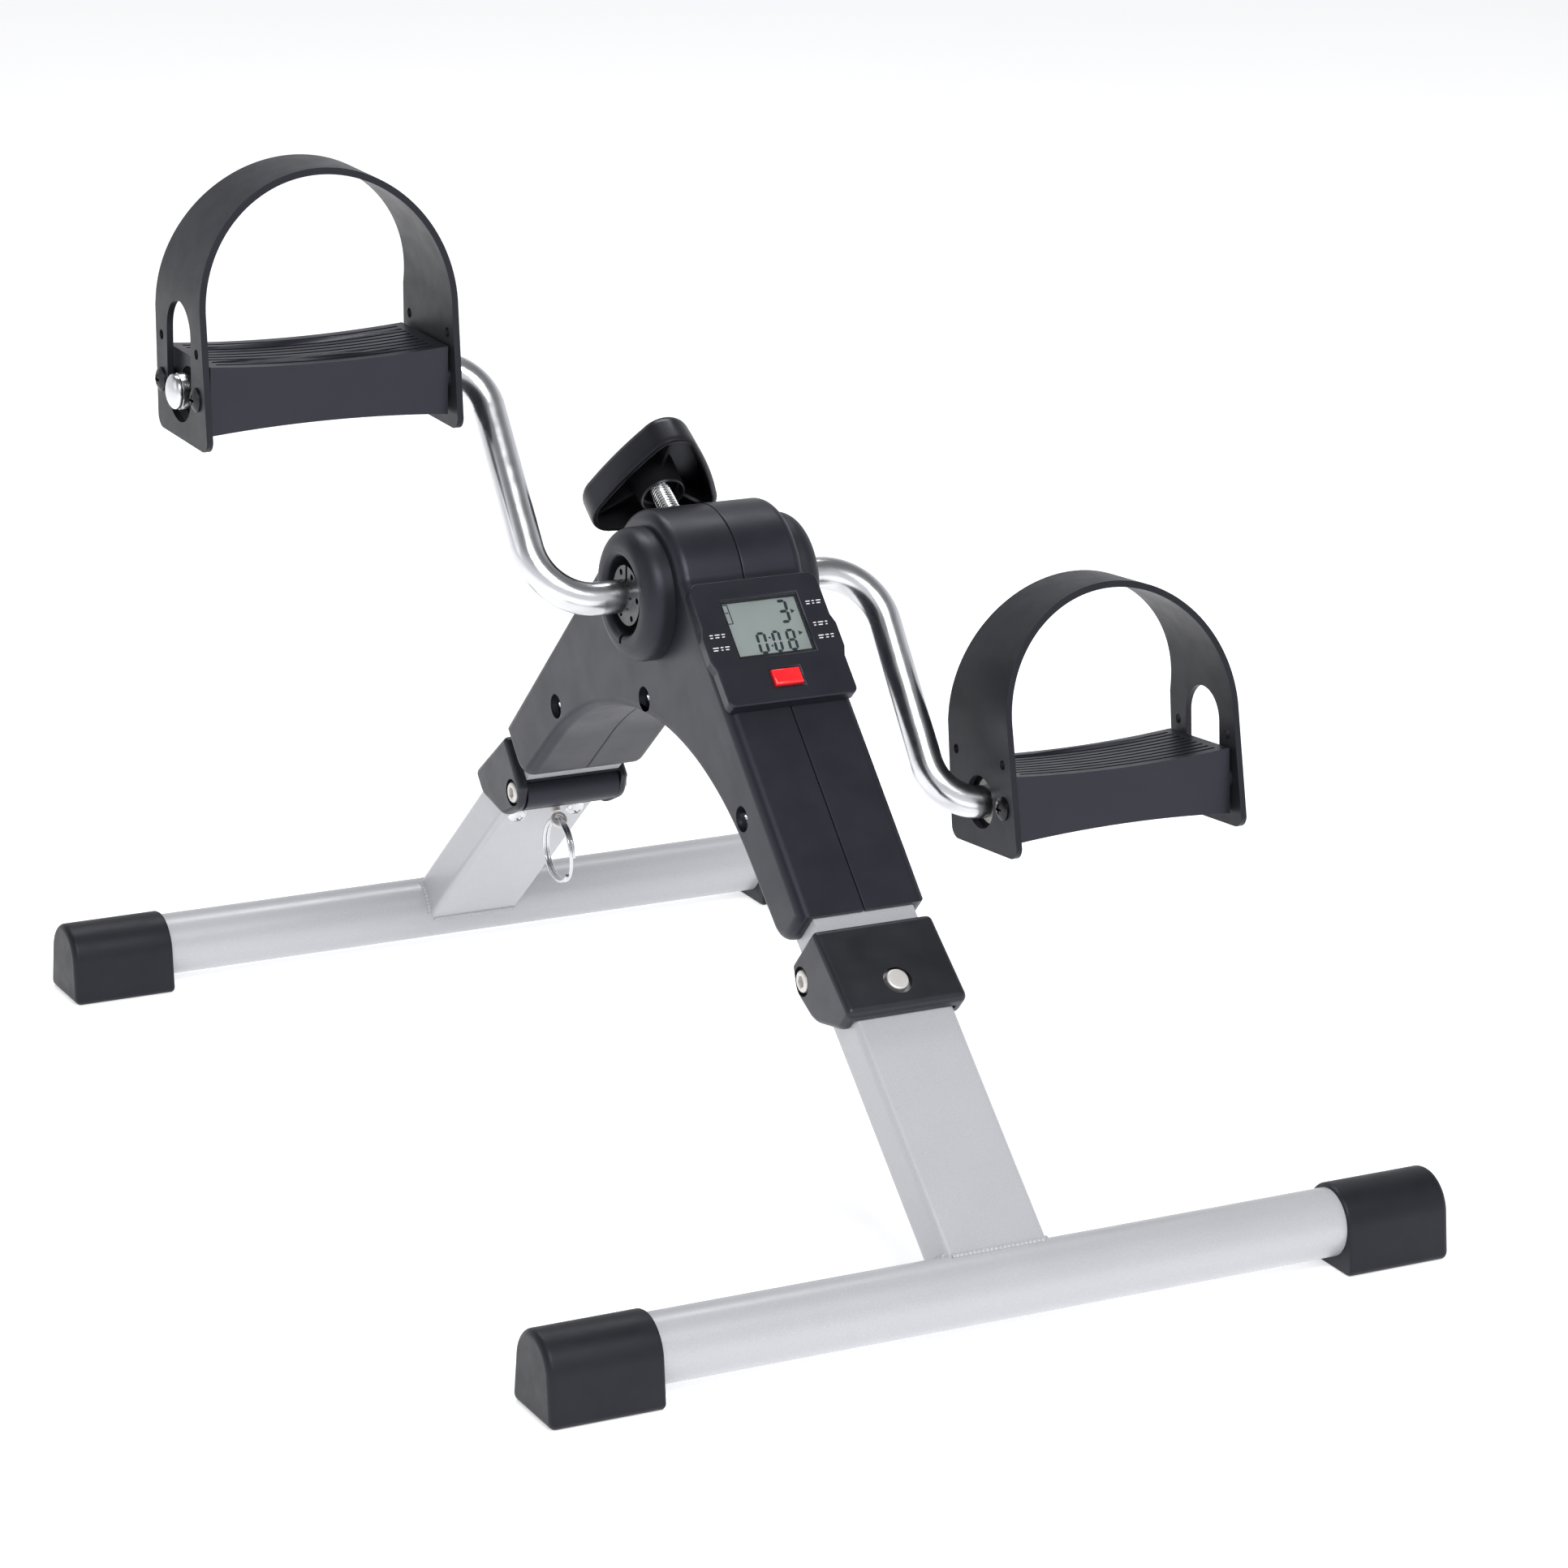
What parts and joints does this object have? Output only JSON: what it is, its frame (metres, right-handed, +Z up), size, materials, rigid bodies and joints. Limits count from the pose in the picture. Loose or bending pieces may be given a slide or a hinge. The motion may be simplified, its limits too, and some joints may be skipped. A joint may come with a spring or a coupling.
{
  "type": "pedal exerciser",
  "caption": "Folding floor pedal exerciser: two T-shaped feet on pull-pin hinges, arched housing, bent crank with strapped pedals, brake knob and small display.",
  "frame": {"origin": "on the floor, under the middle of the housing", "axes": "+X across, along the feet, to the user's view of the display's right; +Y from the display side to the knob side; +Z up"},
  "size_m": [0.386, 0.502, 0.3751],
  "materials": {
    "black_plastic": "satin, fine grain",
    "hub_plastic": "soft matte",
    "gloss_plastic": "polished",
    "silver_paint": "satin powder coat",
    "chrome": "mirror",
    "steel": "zinc plated",
    "black_steel": "satin",
    "rubber": "matte",
    "loop_rubber": "semi-matte",
    "black_screw": "black oxide",
    "nylon": "dull",
    "red_button": "glossy",
    "clear_window": "clear",
    "lcd_glass": "satin",
    "board": "solder mask",
    "brake_lining": "fibrous"
  },
  "bodies": {
    "frame": {"housing_left": "black_plastic", "housing_right": "black_plastic", "housing_screws": "chrome", "upper_frame": "silver_paint", "axle_bushes": "nylon", "hub_cover_left": "hub_plastic", "hub_cover_right": "hub_plastic", "tension_nut": "steel", "front_bracket": "black_steel", "rear_bracket": "black_steel", "pivot_bolts": "chrome", "pivot_nuts": "steel", "display_case": "black_plastic", "display_back": "black_plastic", "display_window": "clear_window", "lcd_panel": "lcd_glass", "circuit_board": "board", "coin_cell": "steel", "reset_switch": "steel", "reed_sensor": "board"},
    "button": {"reset_button": "red_button"},
    "crank": {"crank_left": "chrome", "crank_right": "chrome", "brake_drum": "steel", "drum_screws": "steel", "axle_collars": "chrome", "spindle_nuts": "chrome", "trip_magnet": "steel"},
    "left_pedal": {"left_tread": "black_plastic", "left_loop": "loop_rubber", "left_loop_screws": "black_screw", "left_pedal_bushes": "nylon"},
    "right_pedal": {"right_tread": "black_plastic", "right_loop": "loop_rubber", "right_loop_screws": "black_screw", "right_pedal_bushes": "nylon"},
    "shoe": {"brake_shoe": "steel", "brake_pad": "brake_lining"},
    "knob": {"tension_knob": "gloss_plastic", "tension_screw": "chrome"},
    "front_foot": {"front_leg": "silver_paint", "front_cross_tube": "silver_paint", "front_cap_left": "rubber", "front_cap_right": "rubber", "front_plug": "black_plastic", "front_plug_screws": "chrome", "front_pin_spring": "steel"},
    "front_pin": {"front_lock_pin": "chrome"},
    "front_ring": {"front_pull_ring": "chrome"},
    "rear_foot": {"rear_leg": "silver_paint", "rear_cross_tube": "silver_paint", "rear_cap_left": "rubber", "rear_cap_right": "rubber", "rear_plug": "black_plastic", "rear_plug_screws": "chrome", "rear_pin_spring": "steel"},
    "rear_pin": {"rear_lock_pin": "chrome"},
    "rear_ring": {"rear_pull_ring": "chrome"}
  },
  "joints": [
    {"name": "crank_spin", "type": "hinge", "parent": "frame", "child": "crank", "pos_m": [0, 0, 0.213], "axis": [1, 0, 0], "continuous": true},
    {"name": "left_pedal_spin", "type": "hinge", "parent": "crank", "child": "left_pedal", "pos_m": [-0.1395, 0.06018, 0.29286], "axis": [1, 0, 0], "continuous": true},
    {"name": "right_pedal_spin", "type": "hinge", "parent": "crank", "child": "right_pedal", "pos_m": [0.1395, -0.06018, 0.13314], "axis": [1, 0, 0], "continuous": true},
    {"name": "shoe_slide", "type": "slide", "parent": "frame", "child": "shoe", "axis": [0, 0.8387, 0.5446], "range_m": [-0.0006, 0.0025]},
    {"name": "knob_turn", "type": "hinge", "parent": "shoe", "child": "knob", "pos_m": [0, 0.0478, 0.24404], "axis": [0, 0.8387, 0.5446], "range_deg": [-180, 720]},
    {"name": "button_press", "type": "slide", "parent": "frame", "child": "button", "axis": [0, 0.7071, -0.7071], "range_m": [0, 0.0008], "stiffness_N_per_m": 600, "springref_m": -0.0006},
    {"name": "front_fold", "type": "hinge", "parent": "frame", "child": "front_foot", "pos_m": [0, -0.1282, 0.0983], "axis": [1, 0, 0], "range_deg": [0, 95]},
    {"name": "front_pin_pull", "type": "slide", "parent": "front_foot", "child": "front_pin", "axis": [0, 0.6665, -0.7455], "range_m": [0, 0.008], "stiffness_N_per_m": 300, "springref_m": -0.004, "deforming": ["front_pin_spring"]},
    {"name": "front_ring_swing", "type": "hinge", "parent": "front_pin", "child": "front_ring", "pos_m": [0, -0.13558, 0.0815], "axis": [0, -0.7455, -0.6665], "range_deg": [-40, 40]},
    {"name": "rear_fold", "type": "hinge", "parent": "frame", "child": "rear_foot", "pos_m": [0, 0.1282, 0.0983], "axis": [-1, 0, 0], "range_deg": [0, 95]},
    {"name": "rear_pin_pull", "type": "slide", "parent": "rear_foot", "child": "rear_pin", "axis": [0, -0.6665, -0.7455], "range_m": [0, 0.008], "stiffness_N_per_m": 300, "springref_m": -0.004, "deforming": ["rear_pin_spring"]},
    {"name": "rear_ring_swing", "type": "hinge", "parent": "rear_pin", "child": "rear_ring", "pos_m": [0, 0.13558, 0.0815], "axis": [0, 0.7455, -0.6665], "range_deg": [-40, 40]}
  ],
  "couplings": [
    {"joint": "knob_turn", "follows": "shoe_slide", "rad_per_m": 5026.5}
  ]
}
